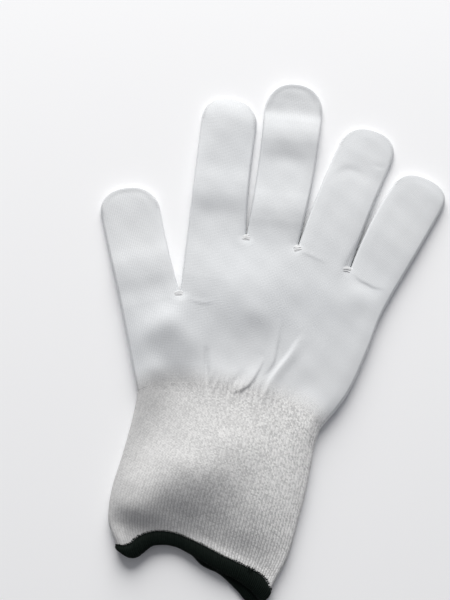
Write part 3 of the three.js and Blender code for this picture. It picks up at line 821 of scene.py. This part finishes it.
def make_cuff():
    bm = bmesh.new()
    rims = []
    turn_at = even_turn(cuff_start, knit_end, 0.5)
    for inset, columns, rows in (
        (0, CUFF_WALES * COLUMNS_PER_WALE, CUFF_COURSES * ROWS_PER_COURSE),
        (CUFF_WALL, CUFF_WALES // 2, CUFF_COURSES // 4),
    ):
        shape = (rows + 1, columns + 1)
        turn = np.linspace(0, 1, columns + 1)
        u = np.broadcast_to(np.where(turn < 1, turn_at(turn), 0), shape)
        share = np.linspace(0, 1, rows + 1)[:, None]
        points = ring_point(u, share, np.full_like(share, inset), cuff_start, knit_end)
        past = points[..., 1] - wrist_line(points[..., 0])
        under = smoothstep(past, 0, CUFF_TUCK["length"])
        points[..., 2] += np.where(u % 1 >= 0.5, -1, 1) * CUFF_TUCK["depth"] * under
        wale = np.broadcast_to(turn * CUFF_WALES, shape)
        course = np.broadcast_to(share * CUFF_COURSES, shape)
        if inset == 0:
            height = STITCH_HEIGHT * (1 - smoothstep(past, -STITCH_FADE, 0)) * stitch_height(wale, course)
            points += surface_normals(points) * height[..., None]
            points[..., 2] = np.maximum(points[..., 2], 0)
        verts = add_grid(bm, points, np.stack([wale, course], axis=-1))
        bmesh.ops.remove_doubles(bm, verts=verts, dist=WELD)
        rims.append(rim_edges(bm, [vert for vert in verts if vert.is_valid]))
    for at_wrist in (True, False):
        edges = []
        for rim in rims:
            middle = sum(e.verts[0].co.y for e in rim) / len(rim)
            edges += [e for e in rim if (e.verts[0].co.y > middle) == at_wrist]
        bmesh.ops.bridge_loops(bm, edges=edges)
    return finish_mesh(bm, "knit_cuff")


def hem_point(u, angle, lift):
    """A point round the hem's section. Angle 0 is where the knit ends, and half a turn is the hem's edge."""
    half = CUFF_WALL / 2 + HEM_BAND_PROUD + lift
    share = 0.5 - (0.5 + lift / HEM_WIDTH) * np.cos(angle)
    inset = CUFF_WALL / 2 - half * np.sin(angle)
    points = ring_point(u, share, inset, knit_end, hem_end)
    points[..., 2] = np.maximum(points[..., 2], lift)
    return points


def make_hem_band():
    bm = bmesh.new()
    turn_at = even_turn(knit_end, hem_end, 0.5)
    turn = np.linspace(0, 1, HEM_COLUMNS + 1)
    shape = (HEM_SIDES + 1, HEM_COLUMNS + 1)
    u = np.broadcast_to(np.where(turn < 1, turn_at(turn), 0), shape)
    angle = np.broadcast_to(np.linspace(0, 2 * np.pi, HEM_SIDES + 1)[:, None], shape)
    pattern = np.stack([np.broadcast_to(turn * THREADS, shape), angle], axis=-1)
    verts = add_grid(bm, hem_point(u, angle, 0.0), pattern)
    bmesh.ops.remove_doubles(bm, verts=verts, dist=WELD)
    return finish_mesh(bm, "hem_band")


def make_hem_threads():
    """The overlock thread: each stitch starts as a tooth on the knit, lies across the outside, goes round the
    edge and comes back up the inside. A few ends have come loose."""
    chance = random.Random(SEEDS["threads"])
    turn_at = even_turn(knit_end, hem_end, 0.5)
    angle = np.linspace(HEM_STITCH["start"], HEM_STITCH["end"], THREAD_POINTS) * np.pi
    slant = HEM_STITCH["slant"] * np.sin(angle * 0.5 + HEM_STITCH["slant_turn"])
    tooth_inset = np.array([-STITCH_HEIGHT - THREAD_RADIUS / 2])
    paths = []
    for thread in range(THREADS):
        turn = (thread + 0.5 + slant + chance.uniform(-HEM_STITCH["stray"], HEM_STITCH["stray"])) / THREADS
        lift = THREAD_RADIUS * chance.uniform(*HEM_STITCH_CHANCE["lifts"])
        body = hem_point(turn_at(turn), angle, lift)
        tooth = THREAD_TOOTH * chance.uniform(*HEM_STITCH_CHANCE["teeth"])
        start = ring_point(turn_at(turn[:1]), np.array([-tooth / HEM_WIDTH]), tooth_inset, knit_end, hem_end)
        paths.append(np.concatenate([start, body]))
    first = LOOSE_ENDS["start"]
    apart, stray = LOOSE_CHANCE["apart"], LOOSE_CHANCE["stray"]
    for _ in range(LOOSE_ENDS["count"]):
        last = -LOOSE_ENDS["length"] / HEM_WIDTH * chance.uniform(*LOOSE_CHANCE["lengths"])
        share = np.linspace(first, last, LOOSE_ENDS["points"])
        middle = LOOSE_ENDS["across"] + chance.uniform(-apart, apart)
        across = middle + chance.uniform(-stray, stray) * (first - share)
        u = 1 - np.arccos(1 - 2 * across) / (2 * np.pi)
        inset = -HEM_BAND_PROUD - THREAD_RADIUS - chance.uniform(*LOOSE_CHANCE["rises"]) * (first - share)
        paths.append(ring_point(u, share, inset, knit_end, hem_end))
    paths = [np.maximum(path, (-math.inf, -math.inf, THREAD_RADIUS)) for path in paths]
    return tubes("hem_threads", paths, THREAD_RADIUS)


# Materials


class Value:
    """One output of a material's node. Python's arithmetic on it adds Math nodes."""

    def __init__(self, finish, socket):
        self.finish = finish
        self.socket = socket

    def maths(self, operation, *others):
        return self.finish.node("ShaderNodeMath", {"operation": operation}, dict(enumerate((self, *others))))

    def __add__(self, other):
        return self.maths("ADD", other)

    def __sub__(self, other):
        return self.maths("SUBTRACT", other)

    def __mul__(self, other):
        return self.maths("MULTIPLY", other)

    def __truediv__(self, other):
        return self.maths("DIVIDE", other)

    def __mod__(self, other):
        return self.maths("FLOORED_MODULO", other)

    def __abs__(self):
        return self.maths("ABSOLUTE")

    def __rsub__(self, other):
        return self.finish.node("ShaderNodeMath", {"operation": "SUBTRACT"}, {0: other, 1: self})

    __radd__ = __add__
    __rmul__ = __mul__

    def sine(self):
        return self.maths("SINE")

    def floor(self):
        return self.maths("FLOOR")

    def at_least(self, least):
        return self.maths("MAXIMUM", least)


class Finish:
    """A material and the nodes in it."""

    def __init__(self, name, **constants):
        self.material = bpy.data.materials.new(name)
        self.material.use_nodes = True
        self.tree = self.material.node_tree
        self.shader = self.tree.nodes["Principled BSDF"]
        for socket, value in constants.items():
            self.feed(self.shader.inputs[socket.replace("_", " ")], value)

    def node(self, kind, settings, sockets, output=0):
        """Adds a node of a kind, sets its settings, then gives its sockets values or links."""
        made = self.tree.nodes.new(kind)
        for name, value in settings.items():
            setattr(made, name, value)
        for name, value in sockets.items():
            self.feed(made.inputs[name], value)
        return Value(self, made.outputs[output])

    def feed(self, socket, value):
        if isinstance(value, Value):
            self.tree.links.new(value.socket, socket)
        else:
            socket.default_value = value

    def place(self, output="Object"):
        return self.node("ShaderNodeTexCoord", {}, {}, output)

    def split(self, vector):
        separate = self.node("ShaderNodeSeparateXYZ", {}, {0: vector}).socket.node
        return [Value(self, output) for output in separate.outputs]

    def join(self, *values):
        return self.node("ShaderNodeCombineXYZ", {}, dict(enumerate(values)))

    def noise(self, vector, scale, detail=2.0):
        return self.node("ShaderNodeTexNoise", {}, {"Vector": vector, "Scale": scale, "Detail": detail})

    def chance(self, vector):
        """A value of its own for each whole-numbered vector."""
        return self.node("ShaderNodeTexWhiteNoise", {"noise_dimensions": "2D"}, {"Vector": vector})

    def mix(self, factor, first, second):
        """A colour between two colours."""
        return self.node("ShaderNodeMix", {"data_type": "RGBA"}, {0: factor, 6: first, 7: second}, 2)

    def color(self, value):
        self.feed(self.shader.inputs["Base Color"], value)

    def bump(self, height, relief):
        normal = self.node("ShaderNodeBump", {}, {"Height": height, "Distance": relief * MM})
        self.feed(self.shader.inputs["Normal"], normal)


def knit_pattern(finish, lean):
    """The height of a plain knit at the material's UV, two legs to each stitch, side by side in wales, and a
    value of its own for each leg."""
    wale, course, _ = finish.split(finish.place("UV"))
    side = abs((wale % 1) * 2 - 1)
    ridge = (side * math.pi).sine() * KNIT_FORM["round"] + (1 - side) * KNIT_FORM["sharp"]
    up = course + side * lean
    lump = ((up % 1) * math.pi).sine()
    leg = finish.join((wale * KNIT_LEGS["across"]).floor(), (course * KNIT_LEGS["along"]).floor(), 0)
    return wale, course, ridge * (lump * KNIT_FORM["lumpy"] + KNIT_FORM["even"]), finish.chance(leg)


def speckle(finish, own):
    """Light and dark specks in the elastic knit. Their contrast grows to its right, which is painted shade of
    the grain where the light grazes the knit.
    """
    x, _, _ = finish.split(finish.place())
    grain = finish.noise(finish.place(), NOISE["elastic"])
    return (own + grain - 1) * (x * SPECKS["slope"] + SPECKS["middle"]).at_least(SPECKS["least"])


def elastic_color(finish, height, specks):
    """The speckled white of the elastic knit, with painted light to its right, and painted shade above the
    wrist and in the gap between its wales, most towards the hem.
    """
    x, y, _ = finish.split(finish.place())
    right = x.at_least(0)
    # Painted shade in the gap between wales: stronger below the hem line and to the right, fading to the
    # left.
    fade = PAINTED_GAP_SHADE["below"] - (PAINTED_GAP_SHADE["left"] - x).at_least(0) * PAINTED_GAP_SHADE["fade"]
    painted_gap_shade = (PAINTED_GAP_SHADE["hem"] - y).at_least(0) * fade + right * PAINTED_GAP_SHADE["right"] + PAINTED_GAP_SHADE["least"]
    shade = (height - PAINTED_GAP_SHADE["level"]) * painted_gap_shade + specks * ELASTIC_TONE_AND_PAINTED_LIGHT["specks"]
    # Painted light: lighter across the cuff towards its right, and more so right of its middle.
    shade = shade + x * ELASTIC_TONE_AND_PAINTED_LIGHT["across"] + right * ELASTIC_TONE_AND_PAINTED_LIGHT["right"] + ELASTIC_TONE_AND_PAINTED_LIGHT["shade"]
    # Painted shade: darker above "wrist", towards the wrist line and on into the hand.
    shade = shade - (y - ELASTIC_TONE_AND_PAINTED_LIGHT["wrist"]).at_least(0) * ELASTIC_TONE_AND_PAINTED_LIGHT["painted_shade_above_wrist"]
    return finish.mix(shade, ELASTIC_DARK, ELASTIC_LIGHT)


def hand_finish():
    """Fine white nylon knit, a little cooler in some places, with painted shade between its stitches. It
    turns into the coarser cuff at the wrist.
    """
    finish = Finish("fine_knit", Roughness=0.85, Sheen_Weight=0.15, Sheen_Roughness=0.5)
    wale, course, height, own = knit_pattern(finish, 0.5)
    slubs = finish.noise(finish.join(wale * SLUBS["across"], course * SLUBS["along"], 0), 1.0)
    clouds = finish.noise(finish.place(), NOISE["clouds"], 3.0)
    # Painted shade: the knit's height makes the hand darker between its stitches.
    shade = height * FINE_TONE_AND_PAINTED_SHADE["knit"] + clouds * FINE_TONE_AND_PAINTED_SHADE["clouds"] + slubs * FINE_TONE_AND_PAINTED_SHADE["slubs"]
    shade = shade + own * FINE_TONE_AND_PAINTED_SHADE["legs"]
    dark = finish.mix(finish.noise(finish.place(), NOISE["tint"]), FINE_COOL, FINE_WARM)
    fine = finish.mix(shade, dark, FINE_LIGHT)
    # Near the wrist the hand takes the elastic's colour, with its painted light and painted shade.
    elastic = elastic_color(finish, height, speckle(finish, own))
    past = course / WRIST_GRAIN
    at_wrist = (1 - past + slubs * WRIST_FADE["slubs"] - WRIST_FADE["level"]).at_least(0)
    finish.color(finish.mix(at_wrist, fine, elastic))
    finish.bump(height + slubs * HAND_BUMP["slubs"], RELIEF["hand"])
    return finish.material


def thread_finish(name, kind, dark, light, detail, **constants):
    """Thread with a fine grain between two colours."""
    finish = Finish(name, **constants)
    grain = finish.noise(finish.place(), NOISE[kind], detail)
    finish.color(finish.mix(grain, dark, light))
    finish.bump(grain, RELIEF[kind])
    return finish.material


def cuff_finish():
    """Coarser white knit with elastic in it."""
    finish = Finish("elastic_knit", Roughness=0.85, Sheen_Weight=0.1, Sheen_Roughness=0.5)
    _, _, height, own = knit_pattern(finish, 1.0)
    specks = speckle(finish, own)
    # This colour carries the painted light and painted shade of elastic_color.
    finish.color(elastic_color(finish, height, specks))
    finish.bump(height * CUFF_BUMP["knit"] + specks * CUFF_BUMP["specks"], RELIEF["cuff"])
    return finish.material


def dress(piece, material, slot, *nodes):
    piece.data.materials.clear()
    piece.data.materials.append(material)
    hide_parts(*nodes)


HAND_NODES = ("palm", "thumb", "index_finger", "middle_finger", "ring_finger", "little_finger")
dress(make_hand(), hand_finish(), "knit_hand", *HAND_NODES)
yarn = thread_finish("white_yarn", "yarn", YARN_DARK, YARN_LIGHT, 2.0, Roughness=0.8)
for make in (make_tip_stitches, make_crotch_knots):
    dress(make(), yarn, "knit_hand", *HAND_NODES)
dress(make_cuff(), cuff_finish(), "knit_cuff", "cuff")
overlock = thread_finish(
    "overlock_thread", "thread", THREAD_DARK, THREAD_LIGHT, 3.0, Roughness=0.75, Specular_IOR_Level=0.15
)
for make in (make_hem_band, make_hem_threads):
    dress(make(), overlock, "hem_thread", "hem")


# Floor, light and camera


def make_floor():
    bm = bmesh.new()
    bmesh.ops.create_grid(bm, x_segments=1, y_segments=1, size=FLOOR_SIZE * MM / 2)
    mesh = bpy.data.meshes.new("floor")
    bm.to_mesh(mesh)
    bm.free()
    floor = bpy.data.objects.new("floor", mesh)
    bpy.context.scene.collection.objects.link(floor)
    finish = Finish("pale_floor", Roughness=0.9)
    finish.color(FLOOR_COLOR)
    mesh.materials.append(finish.material)


def stand_off(name, data, place):
    """Puts a lamp or a camera in its place, looking at its target."""
    heading, elevation = math.radians(place["heading"]), math.radians(place["elevation"])
    away = Vector((
        math.sin(heading) * math.cos(elevation),
        math.cos(heading) * math.cos(elevation),
        math.sin(elevation),
    ))
    thing = bpy.data.objects.new(name, data)
    thing.location = (Vector(place["target"]) + away * place["distance"]) * MM
    thing.rotation_euler = (-away).to_track_quat("-Z", "Y").to_euler()
    bpy.context.scene.collection.objects.link(thing)
    return thing


def make_light():
    lamp = bpy.data.lights.new("key", "AREA")
    lamp.shape = "DISK"
    lamp.size = KEY_LAMP["size"] * MM
    lamp.energy = KEY_LAMP["power"]
    lamp.color = KEY_LAMP["color"]
    stand_off("key", lamp, KEY_LIGHT)
    world = bpy.data.worlds.new("studio")
    world.use_nodes = True
    background = world.node_tree.nodes["Background"]
    background.inputs["Color"].default_value = SKY["color"]
    background.inputs["Strength"].default_value = SKY["strength"]
    bpy.context.scene.world = world
    bpy.context.scene.view_settings.view_transform = "Standard"


def make_camera():
    lens = bpy.data.cameras.new("camera")
    lens.angle = math.radians(LENS["angle"])
    lens.clip_start = LENS["nearest"] * MM
    bpy.context.scene.camera = stand_off("camera", lens, VIEW)


make_floor()
make_light()
make_camera()
